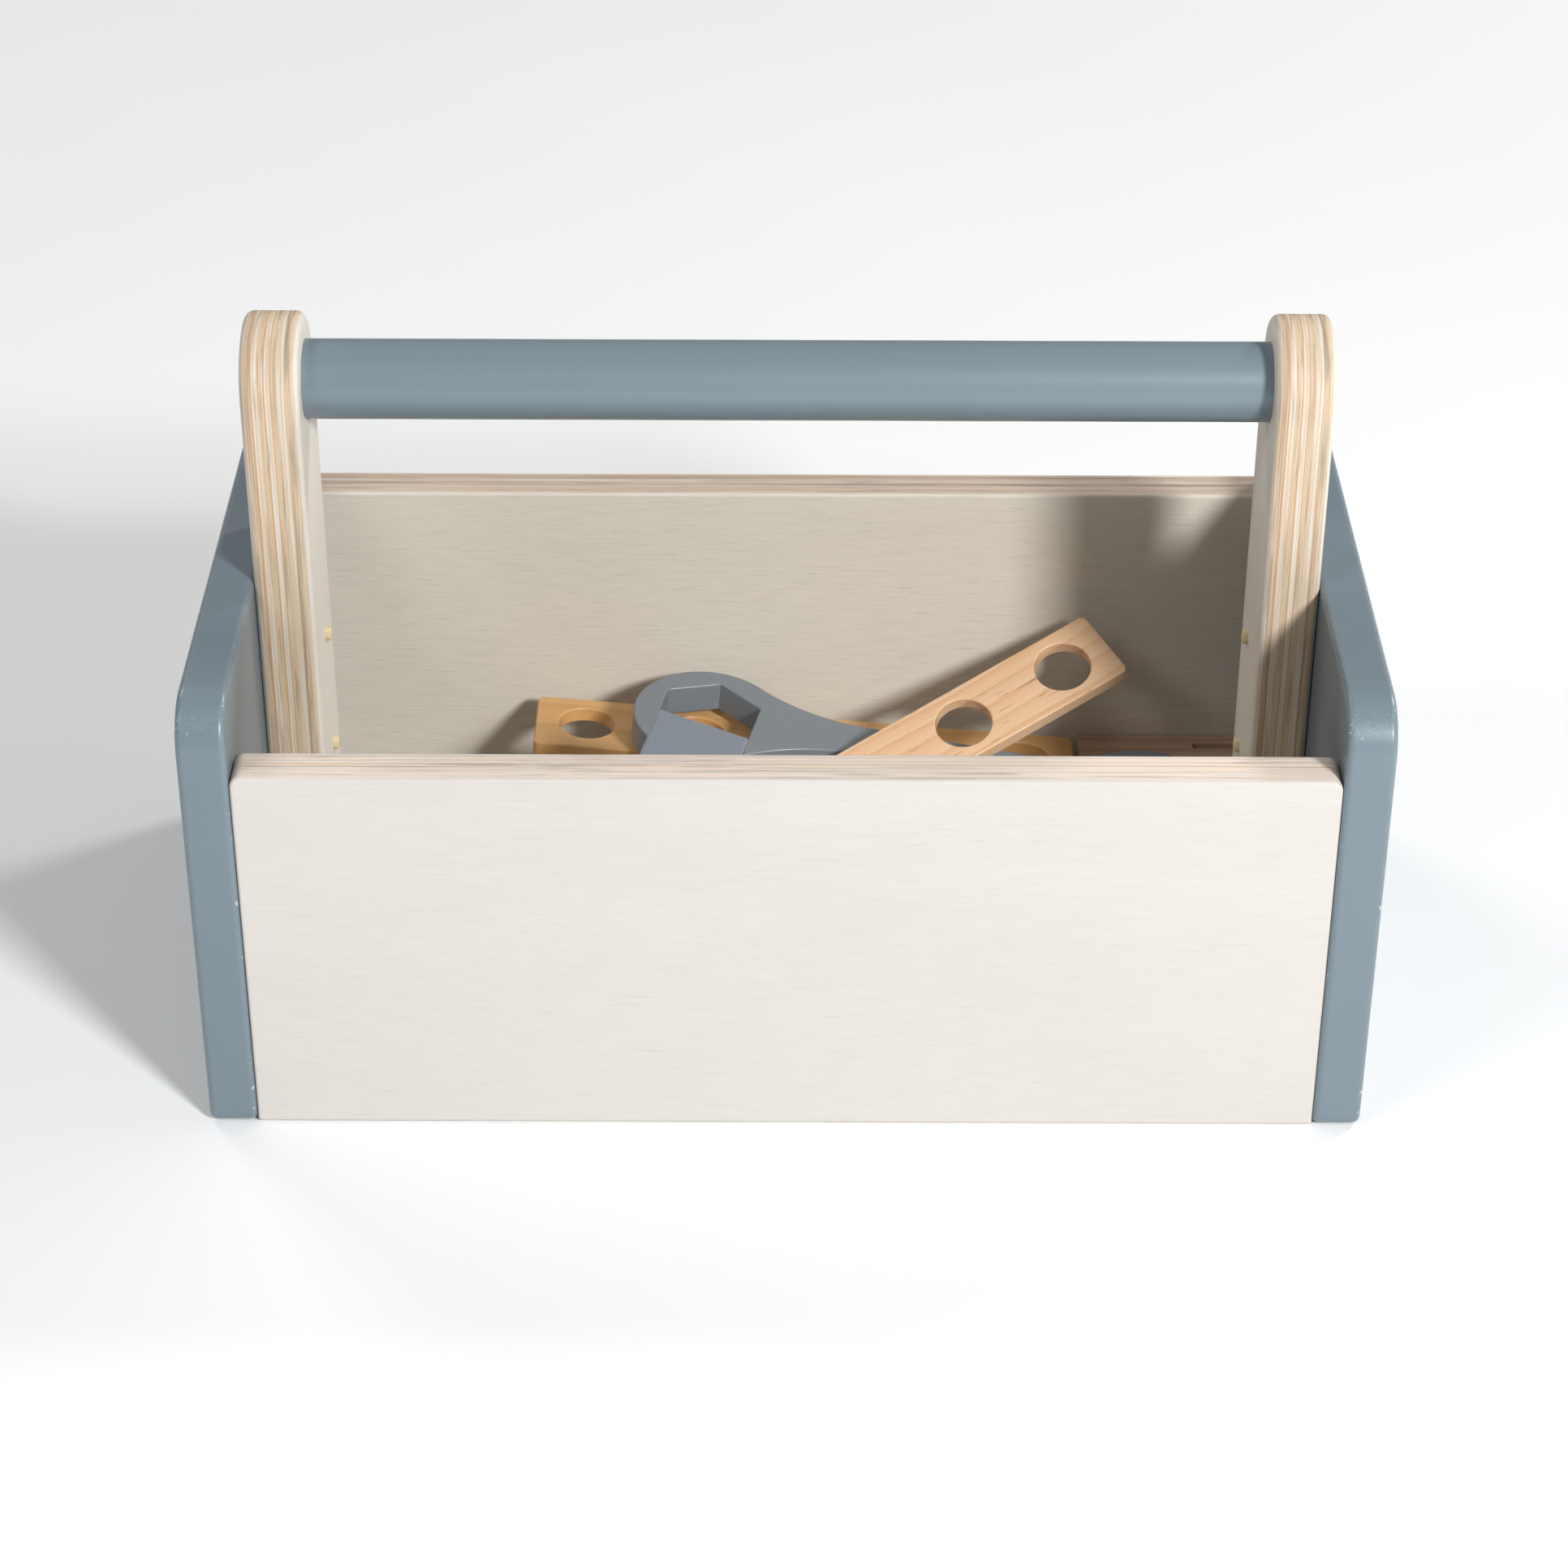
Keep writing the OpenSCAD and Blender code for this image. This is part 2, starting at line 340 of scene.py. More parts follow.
def paint(name, colour, chips_and_glint=0.0):
    """Satin paint over sanded wood: a fine stipple, a few dust specks and, if asked, chipped arrises with a
    painted sparkling highlight along them.
    """
    s = Shader(name)
    place = s.objects()
    cloud = s.noise(place, 14, 3)
    grain = s.noise(s.stretch(place, (0.05, 1, 1)), 700, 3)
    stipple = s.noise(place, 2600, 2, 0.6)
    dust = s.specks(place, 260, 0.045, 0.10)
    body = s.ramp(cloud, [(0.3, tint(colour, 0.975)), (0.7, tint(colour, 1.02))])
    body = s.mix(s.times(s.between(stipple, 0.3, 0.7), 0.25), body, tint(colour, 1.12))
    body = s.mix(s.times(dust, 0.35), body, tint(colour, 1.6))
    if chips_and_glint:
        body = chipped_and_glinting_arrises(s, place, body, colour, chips_and_glint)
    roughness = s.math("ADD", s.times(stipple, 0.14), 0.30)
    normal = s.bump(stipple, 0.02 * MM, 0.55, s.bump(grain, 0.03 * MM, 0.35))
    return s.finish(body, roughness, normal, specular=0.45, coat=0.2)


def chipped_and_glinting_arrises(s, place, body, colour, amount):
    """Chips the paint where a board faces none of its axes, on its arrises and corners, and paints a
    sparkling highlight along them.
    """
    ways = [s.math("ABSOLUTE", part) for part in s.split(s.normals())]
    widest = s.math("MAXIMUM", s.math("MAXIMUM", ways[0], ways[1]), ways[2])
    arris = s.inverse(s.between(widest, 0.78, 0.95))
    # Painted highlight: fine noise lightens the paint along the arrises, standing in for the lamps' glint
    # there; only the chips below are wear.
    arris_glint = s.times(arris, s.between(s.noise(place, 2400, 3), 0.52, 0.64))
    chip = s.times(arris, s.between(s.noise(place, 420, 3), 0.66, 0.70))
    glinted = s.mix(s.times(arris_glint, 0.35 * amount), body, tint(colour, 2.2))
    return s.mix(s.times(chip, amount), glinted, BARE_WOOD)


def plywood(name, thickness, plies, face, core, seed, grain):
    """Plywood with its face grain along x and its plies stacked along z, which show wherever it is cut."""
    s = Shader(name)
    place = s.objects()
    wander = s.noise(s.stretch(place, (1, 2, 0.2), (seed, 0, 0)), 7, 3)
    layered = s.shift(place, wander, (0, 0, 1.2 * MM))
    height = s.split(layered)[2]
    level = s.times(s.math("ADD", height, thickness / 2), plies / thickness)
    depth = s.math("SUBTRACT", thickness / 2, s.math("ABSOLUTE", height))
    skin = s.inverse(s.between(depth, 0.5 * MM, 0.9 * MM))
    hair = s.noise(s.stretch(place, (0.045, 1, 1), (seed, 0, 0)), 1900, 3, 0.65)
    saw = s.noise(s.stretch(place, (1, 0.1, 1)), 1700, 3, 0.6)

    veneer = face_veneer(s, place, hair, face, seed, grain)
    layers = cut_plies(s, place, layered, level, face, core, seed)
    layers = s.mix(s.times(s.between(saw, 0.45, 0.7), 0.16), layers, tint(core, 0.66))
    coloured = s.mix(skin, layers, veneer)
    glue = s.times(glue_lines(s, level, seed), s.inverse(skin))
    coloured = s.mix(glue, coloured, GLUE_BROWN)
    roughness = s.math("ADD", s.times(hair, 0.2), 0.5)
    normal = s.bump(hair, 0.04 * MM, 0.5, s.bump(saw, 0.03 * MM, 0.3))
    return s.finish(coloured, roughness, normal, specular=0.3)


def face_veneer(s, place, hair, face, seed, grain):
    """The face of plywood: broad flames, hairs of grain and short pores."""
    flame = s.noise(s.stretch(place, (0.3, 1, 1), (0, seed, 0)), 14, 5, 0.6, 0.8)
    pore = s.noise(s.stretch(place, (0.05, 1, 1), (0, 0, seed)), 2000, 1)
    veneer = s.mix(s.between(flame, 0.3, 0.7), face, tint(face, 0.955))
    veneer = s.mix(s.times(s.between(hair, 0.4, 0.75), grain), veneer, tint(face, 0.76))
    return s.mix(s.times(s.between(pore, 0.66, 0.78), grain), veneer, tint(face, 0.60))


def cut_plies(s, place, layered, level, face, core, seed):
    """The cut edge of plywood: each ply has its own tone and streaks, and every second one is paler."""
    number = s.math("FLOOR", level)
    above_zero = s.math("ADD", number, 20.0)
    odd = s.math("MODULO", above_zero, 2.0)
    stripe = s.noise(s.stretch(layered, (0.01, 0.03, 1), (0, 0, seed)), 1700, 3, 0.65)
    smudge = s.noise(s.stretch(place, (0.07, 0.08, 2), (seed, seed, 0)), 420, 3, 0.6)
    tone = s.times(s.stripe_tone(number, seed), 0.36)
    tone = s.math("ADD", tone, s.times(s.between(stripe, 0.22, 0.78), 0.64))
    pink = (core[0] * 0.74, core[1] * 0.66, core[2] * 0.61)
    sap = (core[0] * 1.02, core[1] * 0.96, core[2] * 0.84)
    woods = [(0.20, pink), (0.38, core), (0.54, sap), (0.68, tint(core, 1.08)), (0.80, face)]
    layers = s.ramp(tone, woods)
    layers = s.mix(s.times(s.between(smudge, 0.54, 0.66), 0.60), layers, tint(core, 0.50))
    return s.mix(s.times(s.inverse(odd), 0.22), layers, face)


def glue_lines(s, level, seed):
    """Thin lines where two plies meet, each with its own strength."""
    edge = s.math("ABSOLUTE", s.math("SUBTRACT", s.math("FRACT", level), 0.5))
    joint = s.stripe_tone(s.math("ROUND", level), seed + 0.5)
    return s.times(s.between(edge, 0.36, 0.47), s.times(joint, joint))


def timber(name, light, mid, dark, seed, gloss, flecks, rings, coat=0.0):
    """Solid wood with its grain along x: growth rings cut nearly flat, fine fibres and dark flecks."""
    s = Shader(name)
    place = s.stretch(s.objects(), (1, 1, 1), (seed * 0.03, seed * 0.017, seed * 0.011))
    bend = s.noise(s.stretch(place, (0.3, 1, 1)), 16, 3, 0.5)
    bent = s.shift(place, bend, (0, 0.016, 0.010))
    growth = s.node("ShaderNodeTexWave", wave_type="RINGS", rings_direction="X", wave_profile="SAW")
    s.join(s.stretch(bent, (0.07, 1, 1), (0, 0.011, 0.034)), growth.inputs["Vector"])
    growth.inputs["Scale"].default_value = rings
    growth.inputs["Distortion"].default_value = 2.2
    growth.inputs["Detail"].default_value = 3
    growth.inputs["Detail Scale"].default_value = 0.8
    fibre = s.noise(s.stretch(place, (0.025, 1, 1)), 900, 4, 0.6)
    cloud = s.noise(s.stretch(place, (0.3, 1, 1)), 40, 4)
    fleck = s.noise(s.stretch(place, (0.09, 1, 1)), 1700, 1, 0.3)
    body = s.ramp(growth.outputs["Fac"], [(0.0, light), (0.62, mid), (0.92, dark), (1.0, light)])
    body = s.mix(s.times(s.between(cloud, 0.35, 0.7), 0.55), body, mid)
    body = s.mix(s.times(s.between(fibre, 0.4, 0.75), 0.35), body, dark)
    marks = s.times(s.between(fleck, 0.70, 0.76), flecks)
    coloured = s.mix(marks, body, tint(dark, 0.55))
    roughness = s.math("ADD", s.times(fibre, 0.18), gloss)
    normal = s.bump(fibre, 0.07 * MM, 0.5)
    return s.finish(coloured, roughness, normal, specular=0.4, coat=coat)


# ---------------------------------------------------------------- outlines


def arc(centre, radius, start, end, steps):
    """Points on an arc, both ends included; angles in degrees."""
    points = []
    for i in range(steps + 1):
        a = math.radians(start + (end - start) * i / steps)
        points.append((centre[0] + radius * math.cos(a), centre[1] + radius * math.sin(a)))
    return points


def circle(centre, radius, steps=72):
    """Points round a circle, none of them twice."""
    return arc(centre, radius, 0, 360, steps)[:-1]


def rounded_box(low, high, radii):
    """A rectangle whose corners, from the lower left anticlockwise, have these radii."""
    corners = [(low[0], low[1]), (high[0], low[1]), (high[0], high[1]), (low[0], high[1])]
    inward = [(1, 1), (-1, 1), (-1, -1), (1, -1)]
    points = []
    for i, (corner, way, r) in enumerate(zip(corners, inward, radii)):
        centre = (corner[0] + way[0] * r, corner[1] + way[1] * r)
        points += arc(centre, r, 180 + 90 * i, 270 + 90 * i, 8)
    return points


def hexagon(centre, flats, turn):
    """The corners of a hexagon, from its size across flats and the angle of its first corner."""
    radius = flats / 2 / math.cos(math.pi / 6)
    corners = []
    for i in range(6):
        a = turn + i * math.pi / 3
        corners.append((centre[0] + radius * math.cos(a), centre[1] + radius * math.sin(a)))
    return corners


def refined(points, step):
    """The same closed outline with no gap longer than a step, so that its edge can waver a little."""
    dense = []
    for (x0, y0), (x1, y1) in zip(points, points[1:] + points[:1]):
        count = max(1, math.ceil(math.hypot(x1 - x0, y1 - y0) / step))
        for i in range(count):
            dense.append((x0 + (x1 - x0) * i / count, y0 + (y1 - y0) * i / count))
    return dense


def spanner_half(radius):
    """Upper edge of a spanner end and its blend into the handle, from the tip inwards, about its middle."""
    reach = radius + BLEND_R
    rise = SPANNER_HANDLE_HALF + BLEND_R
    away = math.sqrt(reach ** 2 - rise ** 2)
    touch = math.degrees(math.atan2(rise, away))
    edge = arc((0, 0), radius, 180, touch, 28)
    blend = arc((away, rise), BLEND_R, touch + 180, 270, 20)
    return edge + blend[1:]


def spanner_outline(ring, ring_r, jaw):
    """The whole spanner with its jaw cut in; ring and jaw are the middles of its ends, on the x axis."""
    mouth_corner = -JAW_HALF * math.tan(math.pi / 6)
    lip = math.sqrt(JAW_R ** 2 - JAW_HALF ** 2)
    mouth = [(lip, JAW_HALF), (mouth_corner, JAW_HALF), (-JAW_HALF / math.cos(math.pi / 6), 0)]
    mouth += [(mouth_corner, -JAW_HALF), (lip, -JAW_HALF)]
    turned = []
    for x, y in mouth:
        a = math.atan2(y, x) + JAW_TURN
        r = math.hypot(x, y)
        turned.append((jaw + r * math.cos(a), r * math.sin(a)))

    def off_mouth(point):
        """Degrees round the jaw end, from the middle of its mouth."""
        return math.degrees(math.atan2(point[1], point[0] - jaw) - JAW_TURN)

    lip_edge = math.degrees(math.atan2(JAW_HALF, lip)) + 1
    upper = [(ring + x, y) for x, y in spanner_half(ring_r)]
    lower = [(x, -y) for x, y in upper[1:]]
    jaw_side = [(jaw - x, y) for x, y in reversed(spanner_half(JAW_R))]
    above = [point for point in jaw_side if off_mouth(point) > lip_edge]
    below = [(x, -y) for x, y in jaw_side if off_mouth((x, -y)) < -lip_edge]
    return upper + above + turned + below[::-1] + lower[::-1]


# ---------------------------------------------------------------- solids


def finish_piece(piece, body, nodes, material, sharp=40):
    """Shades a piece smooth over its arrises, gives it its material and its body, and hides the CAD nodes
    that it stands for.
    """
    mesh = piece.data
    mesh.materials.clear()
    mesh.materials.append(material)
    soft = bmesh.new()
    soft.from_mesh(mesh)
    bmesh.ops.remove_doubles(soft, verts=soft.verts, dist=1e-6)
    bmesh.ops.recalc_face_normals(soft, faces=soft.faces)
    limit = math.radians(sharp)
    for edge in soft.edges:
        edge.smooth = len(edge.link_faces) == 2 and edge.calc_face_angle(0) < limit
    for face in soft.faces:
        face.smooth = True
    soft.to_mesh(mesh)
    soft.free()
    weighted = piece.modifiers.new("weighted", "WEIGHTED_NORMAL")
    weighted.keep_sharp = True
    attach(piece, body)
    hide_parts(*nodes)


def waver(mesh, amount, size):
    """Pulls the surface in by up to an amount, unevenly, as hand sanding does."""
    skin = bmesh.new()
    skin.from_mesh(mesh)
    bmesh.ops.remove_doubles(skin, verts=skin.verts, dist=1e-6)
    bmesh.ops.recalc_face_normals(skin, faces=skin.faces)
    skin.normal_update()
    for vertex in skin.verts:
        pull = 0.55 + 0.45 * noise.noise(vertex.co / size)
        vertex.co -= vertex.normal * amount * pull
    skin.to_mesh(mesh)
    skin.free()


def plate(name, loops, thickness, arris, place):
    """A flat piece from an outline and its holes, centred on its own z, with every arris rounded."""
    curve = bpy.data.curves.new(name, "CURVE")
    curve.dimensions = "2D"
    curve.fill_mode = "BOTH"
    curve.extrude = thickness / 2 - arris
    curve.bevel_depth = arris
    curve.bevel_resolution = 3
    curve.offset = -arris
    for loop in loops:
        spline = curve.splines.new("POLY")
        spline.points.add(len(loop) - 1)
        for point, (x, y) in zip(spline.points, loop):
            point.co = (x, y, 0, 1)
        spline.use_cyclic_u = True
    drawn = bpy.data.objects.new(name + "_curve", curve)
    bpy.context.scene.collection.objects.link(drawn)
    graph = bpy.context.evaluated_depsgraph_get()
    mesh = bpy.data.meshes.new_from_object(drawn.evaluated_get(graph))
    bpy.data.objects.remove(drawn)
    bpy.data.curves.remove(curve)
    piece = bpy.data.objects.new(name, mesh)
    bpy.context.scene.collection.objects.link(piece)
    piece.matrix_world = place
    waver(mesh, amount=0.05 * MM, size=12 * MM)
    return piece


def lathe(name, profile, place, steps):
    """A turned piece about its own x axis, from a list of (x, radius) that starts and ends on the axis."""
    made = bmesh.new()
    rings = []
    for x, radius in profile:
        count = 1 if radius == 0 else steps
        ring = []
        for i in range(count):
            a = math.tau * i / steps
            ring.append(made.verts.new((x, radius * math.cos(a), radius * math.sin(a))))
        rings.append(ring)
    for first, second in zip(rings, rings[1:]):
        for i in range(steps):
            j = (i + 1) % steps
            square = ((first, i), (first, j), (second, j), (second, i))
            corners = [around[k % len(around)] for around, k in square]
            made.faces.new(dict.fromkeys(corners))
    mesh = bpy.data.meshes.new(name)
    made.to_mesh(mesh)
    made.free()
    piece = bpy.data.objects.new(name, mesh)
    bpy.context.scene.collection.objects.link(piece)
    piece.matrix_world = place
    return piece


def rounded_rod(start, end, radius, round_r, spacing=6 * MM):
    """Profile of a rod with rounded ends, with enough rings along it for its surface to waver."""
    length = end - start - 2 * round_r
    curl = arc((0, 0), round_r, 180, 90, 5)
    near = [(start + round_r + x, radius - round_r + y) for x, y in curl]
    far = [(end - round_r - x, radius - round_r + y) for x, y in reversed(curl)]
    count = max(2, round(length / spacing))
    middle = [(start + round_r + length * i / count, radius) for i in range(1, count)]
    return [(start, 0)] + near + middle + far + [(end, 0)]


# ---------------------------------------------------------------- where the pieces are


def flat_directions(node):
    """The directions that a node's flat faces look in, as lines, from the most area to the least."""
    groups = []
    for polygon in frame["nodes"][node].data.polygons:
        for group in groups:
            if abs(group["way"].dot(polygon.normal)) > 0.9995:
                group["area"] += polygon.area
                break
        else:
            groups.append({"way": polygon.normal.copy(), "area": polygon.area})
    groups.sort(key=lambda g: -g["area"])
    return [g["way"] for g in groups]


def facing(way, axis):
    """The direction, turned so that it points along the positive axis."""
    return way if way[axis] > 0 else -way


def lie(node, up, back):
    """Placement and size of a tilted piece: z is its up direction, y its back, and x runs along it."""
    up = up.normalized()
    back = (back - up * back.dot(up)).normalized()
    turn = Matrix((back.cross(up), back, up)).transposed()
    points = [turn.transposed() @ v.co for v in frame["nodes"][node].data.vertices]
    low = Vector([min(p[i] for p in points) for i in range(3)])
    high = Vector([max(p[i] for p in points) for i in range(3)])
    return Matrix.Translation(turn @ ((low + high) / 2)) @ turn.to_4x4(), high - low


def board_place(node, across):
    """Placement and size of a board square to the box: x along its grain, y in its face, z through it.

    across is the axis of the box that its thickness lies along."""
    low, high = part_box(node)
    size = high - low
    middle = Matrix.Translation((low + high) / 2)
    if across == "y":
        turn = Matrix.Rotation(math.pi / 2, 4, "X")
        return middle @ turn, (size.x, size.z, size.y)
    if across == "x":
        turn = Matrix.Rotation(math.pi / 2, 4, "Z") @ Matrix.Rotation(math.pi / 2, 4, "X")
        return middle @ turn, (size.y, size.z, size.x)
    return middle, (size.x, size.y, size.z)


# ---------------------------------------------------------------- the box


def make_end_panels(material):
    for node in ("left_end_panel", "right_end_panel"):
        place, (width, height, thickness) = board_place(node, "x")
        radii = (END_FOOT_CORNER, END_FOOT_CORNER, END_CORNER, END_CORNER)
        outline = rounded_box((-width / 2, -height / 2), (width / 2, height / 2), radii)
        piece = plate(node + "_board", [refined(outline, BOARD_STEP)], thickness, END_ARRIS, place)
        finish_piece(piece, "box", [node], material)


def make_side_panel(node, material):
    place, (width, height, thickness) = board_place(node, "y")
    radii = (SIDE_FOOT_CORNER, SIDE_FOOT_CORNER, SIDE_CORNER, SIDE_CORNER)
    outline = rounded_box((-width / 2, -height / 2), (width / 2, height / 2), radii)
    piece = plate(node + "_board", [refined(outline, BOARD_STEP)], thickness, SIDE_ARRIS, place)
    finish_piece(piece, "box", [node], material)


def make_bottom_panel(material):
    place, (width, depth, thickness) = board_place("bottom_panel", "z")
    outline = rounded_box((-width / 2, -depth / 2), (width / 2, depth / 2), (FLOOR_ARRIS,) * 4)
    piece = plate("bottom_board", [refined(outline, 2 * BOARD_STEP)], thickness, FLOOR_ARRIS, place)
    finish_piece(piece, "box", ["bottom_panel"], material)


def make_posts(material):
    """The posts' own x runs up, so that their face grain does too."""
    for node in ("left_upright", "right_upright"):
        low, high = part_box(node)
        size = high - low
        turn = Matrix((Vector((0, 0, 1)), Vector((0, 1, 0)), Vector((-1, 0, 0)))).transposed()
        place = Matrix.Translation((low + high) / 2) @ turn.to_4x4()
        half = size.y / 2
        outline = [(-size.z / 2, half), (-size.z / 2, -half)]
        outline += arc((size.z / 2 - half, 0), half, -90, 90, 40)
        piece = plate(node + "_post", [refined(outline, BOARD_STEP)], size.x, POST_ARRIS, place)
        finish_piece(piece, "box", [node], material)


def make_handle(material):
    low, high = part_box("handle_rod")
    length = high.x - low.x
    profile = rounded_rod(-length / 2, length / 2, (high.z - low.z) / 2, ROD_ROUND)
    piece = lathe("handle_rod_turned", profile, Matrix.Translation((low + high) / 2), steps=96)
    waver(piece.data, amount=0.08 * MM, size=30 * MM)
    finish_piece(piece, "box", ["handle_rod"], material)


def make_pegs(material):
    """Each peg's end is cut off by hand, so it is a little oval and domed, with a ragged rim."""
    for node in ("left_upright_pins", "right_upright_pins"):
        low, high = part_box(node)
        radius = (high.y - low.y) / 2
        on_left = low.x < 0
        root = low.x if on_left else high.x
        turn = Matrix.Rotation(0 if on_left else math.pi, 4, "Z")
        profile = rounded_rod(0, high.x - low.x, radius, PEG_ROUND, spacing=0.5 * MM)
        for number, height in enumerate((low.z + radius, high.z - radius)):
            place = Matrix.Translation((root, (low.y + high.y) / 2, height)) @ turn
            peg = lathe(f"{node}_peg_{number}", profile, place, steps=28)
            waver(peg.data, amount=0.22 * MM, size=1.3 * MM)
            finish_piece(peg, "box", [node], material, sharp=60)


def dress_dowels(material):
    """The hidden dowels keep their CAD meshes."""
    for node in ("front_panel_dowels", "back_panel_dowels", "bottom_panel_dowels"):
        mesh = frame["nodes"][node].data
        mesh.materials.clear()
        mesh.materials.append(material)


# ---------------------------------------------------------------- the loose toys


def make_strip(node, body, pitch, holes, from_right, material):
    """A strip with evenly spaced holes, counted from its right end or from its left."""
    ways = flat_directions(node)
    place, size = lie(node, facing(ways[0], 2), facing(ways[1], 1))
    half = (size.x / 2, size.y / 2)
    outline = rounded_box((-half[0], -half[1]), half, (STRIP_CORNER,) * 4)
    loops = [refined(outline, BOARD_STEP)]
    for i in range(holes):
        x = -half[0] + HOLE_END + i * pitch
        loops.append(circle((-x if from_right else x, 0), HOLE_R))
    piece = plate(node + "_plank", loops, size.z, STRIP_ARRIS, place)
    finish_piece(piece, body, [node], material)


def make_spanner(material):
    ways = flat_directions("spanner")
    place, size = lie("spanner", facing(ways[0], 2), facing(ways[1], 1))
    ring_r = size.y / 2
    ring = -size.x / 2 + ring_r
    far_edge = JAW_R * math.cos(JAW_TURN + math.asin(JAW_HALF / JAW_R))
    jaw = size.x / 2 - far_edge
    outline = refined(spanner_outline(ring, ring_r, jaw), TOY_STEP)
    hole = refined(hexagon((ring, 0), RING_HEX_FLATS, RING_HEX_TURN), HEX_HOLE_STEP)
    piece = plate("spanner_body", [outline, hole], size.z, SPANNER_ARRIS, place)
    finish_piece(piece, "ring_spanner", ["spanner"], material)


def make_hammer(head_material, handle_material):
    ways = flat_directions("hammer_head")
    place, size = lie("hammer_head", facing(ways[2], 2), facing(ways[0], 1))
    flat = Matrix.Rotation(math.pi / 2, 4, "X")
    half = (size.x / 2, size.z / 2)
    outline = rounded_box((-half[0], -half[1]), half, (TOY_ARRIS,) * 4)
    head = plate("hammer_head_block", [refined(outline, TOY_STEP)], size.y, TOY_ARRIS, place @ flat)
    finish_piece(head, "hammer", ["hammer_head"], head_material)

    along = place.to_3x3().col[0]
    offsets = [v.co - place.translation for v in frame["nodes"]["hammer_handle"].data.vertices]
    reach = [offset.dot(along) for offset in offsets]
    radius = max((offset - along * offset.dot(along)).length for offset in offsets)
    profile = rounded_rod(min(reach), max(reach), radius, HAMMER_HANDLE_ROUND)
    handle = lathe("hammer_handle_turned", profile, place, steps=48)
    waver(handle.data, amount=0.1 * MM, size=20 * MM)
    finish_piece(handle, "hammer", ["hammer_handle"], handle_material)


def make_nut(material):
    place, size = lie("hex_nut", Vector((0, 0, 1)), Vector((0, 1, 0)))
    outline = refined(hexagon((0, 0), size.x, math.pi / 6), TOY_STEP)
    piece = plate("hex_nut_block", [outline, circle((0, 0), NUT_BORE_R)], size.z, TOY_ARRIS, place)
    finish_piece(piece, "nut", ["hex_nut"], material)


def thread_profile(start, end, radius):
    """Rounded ridges of a toy bolt's coarse thread along its shank."""
    points = []
    count = round((end - start) / THREAD_PITCH) * THREAD_POINTS
    for i in range(count + 1):
        x = start + (end - start) * i / count
        wave = 0.5 + 0.5 * math.cos(math.tau * (x - start) / THREAD_PITCH)
        points.append((x, radius - THREAD_DEPTH * wave))
    return points


def make_bolt(material):
    ways = flat_directions("hex_bolt")
    along = facing(ways[0], 0)
    up = facing(min(ways[1:4], key=lambda way: abs(way.y)), 2)
    place, size = lie("hex_bolt", up, up.cross(along))
    stand = Matrix.Rotation(math.pi / 2, 4, "Y")
    head_at = Matrix.Translation((-size.x / 2 + BOLT_HEAD_LEN / 2, 0, 0))
    outline = refined(hexagon((0, 0), size.z, math.pi / 2), TOY_STEP)
    head = plate("bolt_head", [outline], BOLT_HEAD_LEN, TOY_ARRIS, place @ head_at @ stand)
    finish_piece(head, "bolt", ["hex_bolt"], material)

    start = -size.x / 2 + BOLT_HEAD_LEN - SHANK_SUNK
    end = size.x / 2
    ridges = thread_profile(start + SHANK_PLAIN, end - SHANK_CHAMFER, BOLT_R)
    profile = [(start, 0), (start, BOLT_R)] + ridges + [(end, SHANK_TIP_R), (end, 0)]
    shank = lathe("bolt_shank", profile, place, steps=48)
    finish_piece(shank, "bolt", ["hex_bolt"], material, sharp=50)


def make_block(material):
    """The slotted block: its saw cut is rough, so the cut's front edge wanders."""
    low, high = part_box("slotted_block")
    size = high - low
    half = (size.x / 2, size.y / 2)
    start = -half[0] + CUT_START
    upper = half[1] - CUT_FROM_BACK + SAW_CUT / 2
    lower = upper - SAW_CUT
    teeth = []
    for i in range(CUT_TEETH + 1):
        x = half[0] + (start - half[0]) * i / CUT_TEETH
        rough = CUT_ROUGH * noise.noise(Vector((x / (0.9 * MM), 0, 0)))
        teeth.append((x, lower + rough))
    outline = [(-half[0], half[1]), (-half[0], -half[1]), (half[0], -half[1])]
    outline += teeth + [(start, upper), (half[0], upper), (half[0], half[1])]
    place = Matrix.Translation((low + high) / 2)
    piece = plate("slotted_block_wood", [refined(outline, TOY_STEP)], size.z, BLOCK_ARRIS, place)
    finish_piece(piece, "block", ["slotted_block"], material)


# ---------------------------------------------------------------- everything together


def thickness_of(node, axis):
    low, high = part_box(node)
    return high[axis] - low[axis]


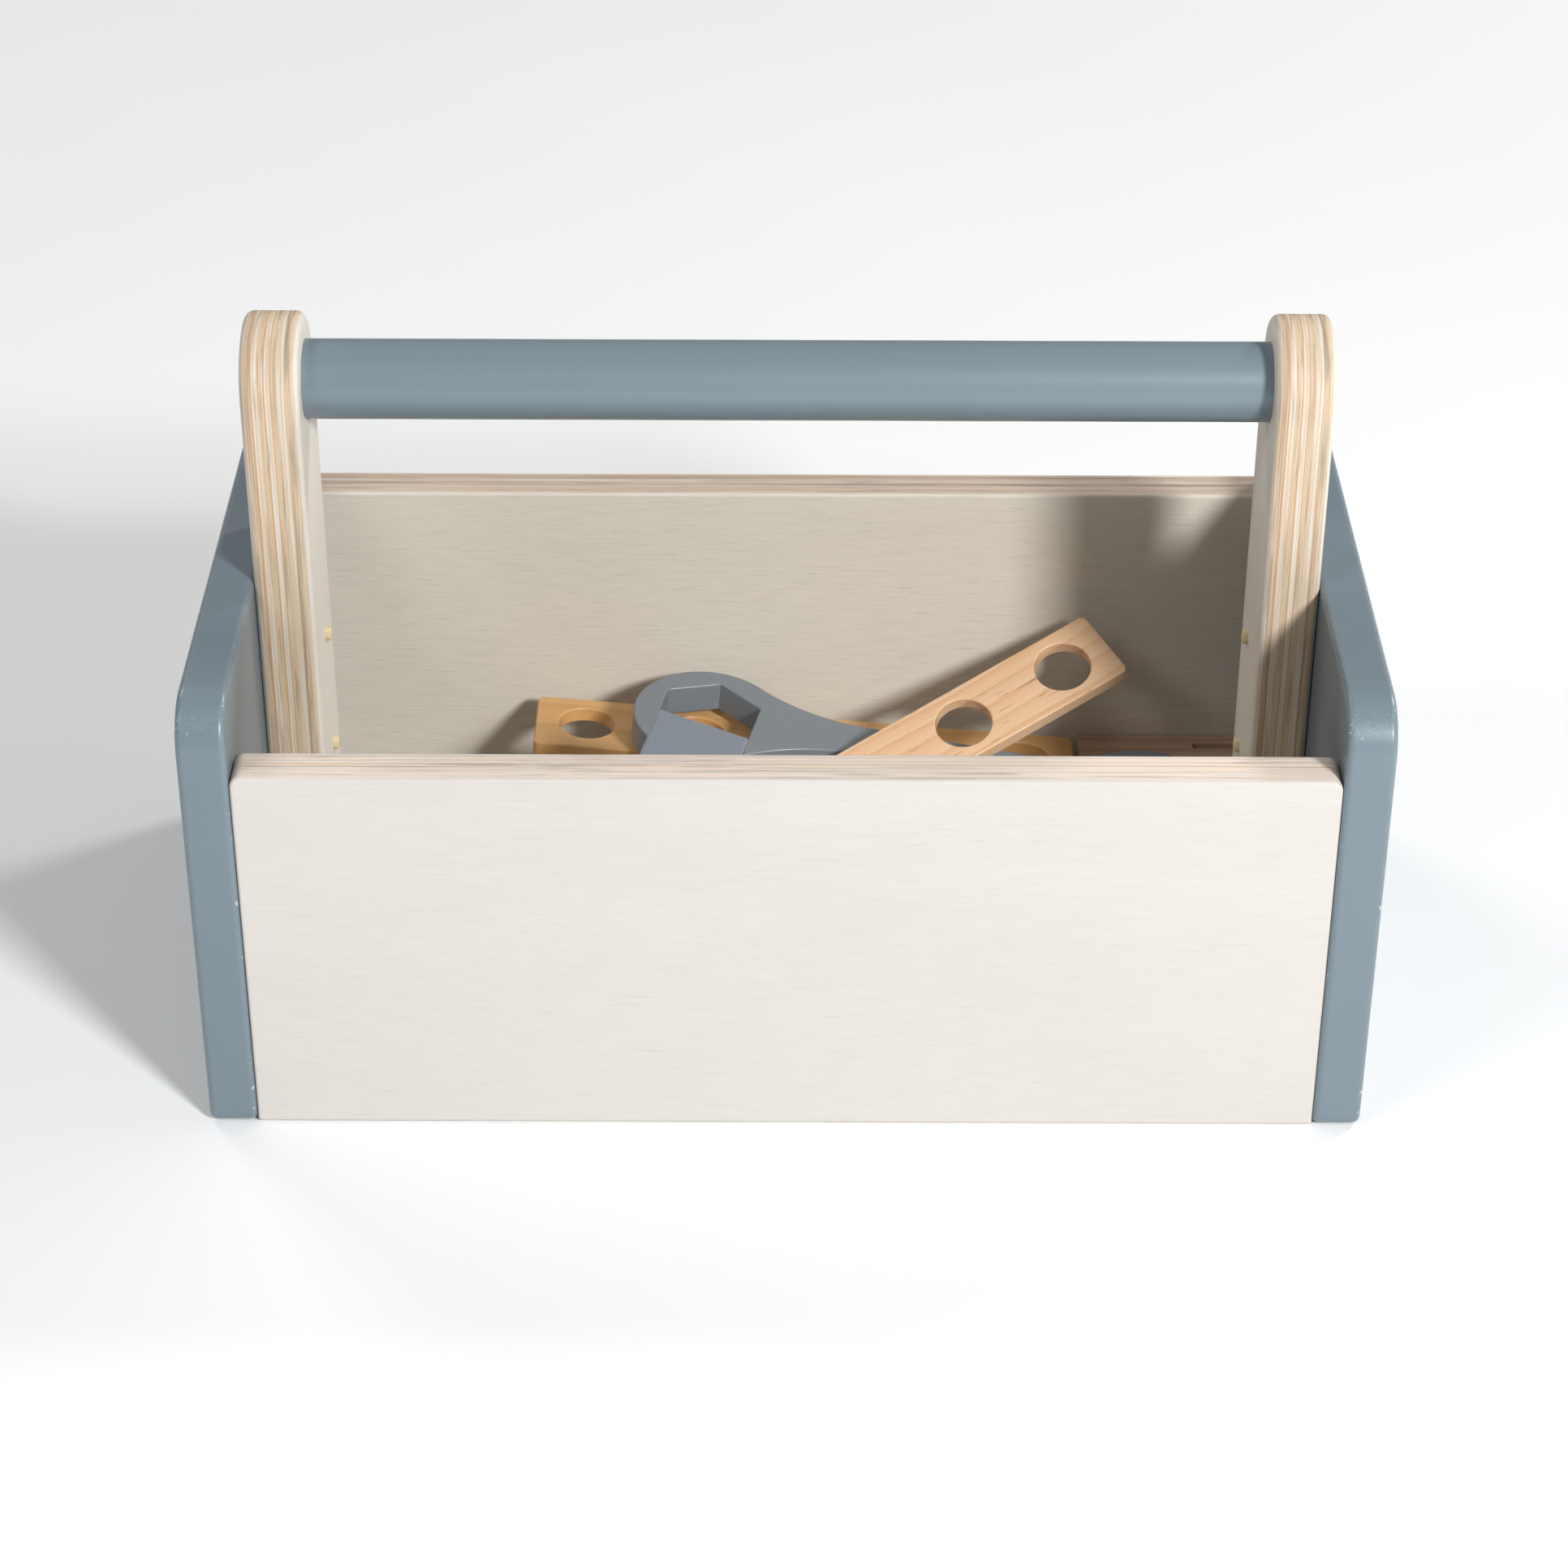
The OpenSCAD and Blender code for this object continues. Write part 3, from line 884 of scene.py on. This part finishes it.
def make_plywoods():
    """The front board, the back board, the posts and the floor of the box, in that order."""
    cream = (0.648, 0.613, 0.566)
    beige = (0.740, 0.678, 0.580)
    front = plywood("front_plywood", thickness_of("front_panel", 1), 7,
                    face=cream, core=(0.86, 0.74, 0.66), seed=8.0, grain=0.20)
    back = plywood("back_plywood", thickness_of("back_panel", 1), 7,
                   face=beige, core=(0.60, 0.49, 0.41), seed=17.0, grain=0.42)
    posts = plywood("post_plywood", thickness_of("left_upright", 0), 9,
                    face=(0.72, 0.67, 0.59), core=(0.62, 0.485, 0.352), seed=11.0, grain=0.30)
    floor = plywood("floor_plywood", thickness_of("bottom_panel", 2), 5,
                    face=beige, core=(0.58, 0.46, 0.36), seed=23.0, grain=0.40)
    return front, back, posts, floor


def make_timbers():
    """Amber strip; pine strip and hammer handle; bolt, nut and block; pegs: in that order."""
    amber = timber("amber_wood", (0.77, 0.44, 0.18), (0.72, 0.40, 0.155), (0.64, 0.345, 0.125),
                   seed=3.0, gloss=0.36, flecks=0.10, rings=40, coat=0.2)
    pine = timber("pine", (0.81, 0.55, 0.34), (0.77, 0.49, 0.29), (0.71, 0.415, 0.22),
                  seed=7.0, gloss=0.38, flecks=0.9, rings=75, coat=0.12)
    beech = timber("beech", (0.63, 0.42, 0.30), (0.58, 0.37, 0.26), (0.47, 0.28, 0.18),
                   seed=5.0, gloss=0.5, flecks=0.6, rings=70)
    peg = timber("peg_wood", (0.78, 0.64, 0.42), (0.72, 0.57, 0.34), (0.58, 0.43, 0.24),
                 seed=9.0, gloss=0.5, flecks=0.2, rings=120)
    return amber, pine, beech, peg


def main():
    make_camera()
    make_studio()
    front_ply, back_ply, post_ply, floor_ply = make_plywoods()
    amber, pine, beech, peg = make_timbers()

    # The end panels' paint: real chips and a painted sparkling highlight along its arrises.
    make_end_panels(paint("slate_paint", (0.163, 0.210, 0.240), chips_and_glint=0.7))
    make_side_panel("front_panel", front_ply)
    make_side_panel("back_panel", back_ply)
    make_bottom_panel(floor_ply)
    make_posts(post_ply)
    make_handle(paint("rod_paint", (0.176, 0.227, 0.259)))
    make_pegs(peg)
    dress_dowels(peg)

    make_strip("amber_strip", "long_strip", AMBER_PITCH, 5, False, amber)
    make_strip("pine_strip", "short_strip", PINE_PITCH, 3, True, pine)
    make_spanner(paint("spanner_paint", (0.208, 0.232, 0.255)))
    make_hammer(paint("hammer_paint", (0.190, 0.210, 0.243)), pine)
    make_nut(beech)
    make_bolt(beech)
    make_block(beech)


main()
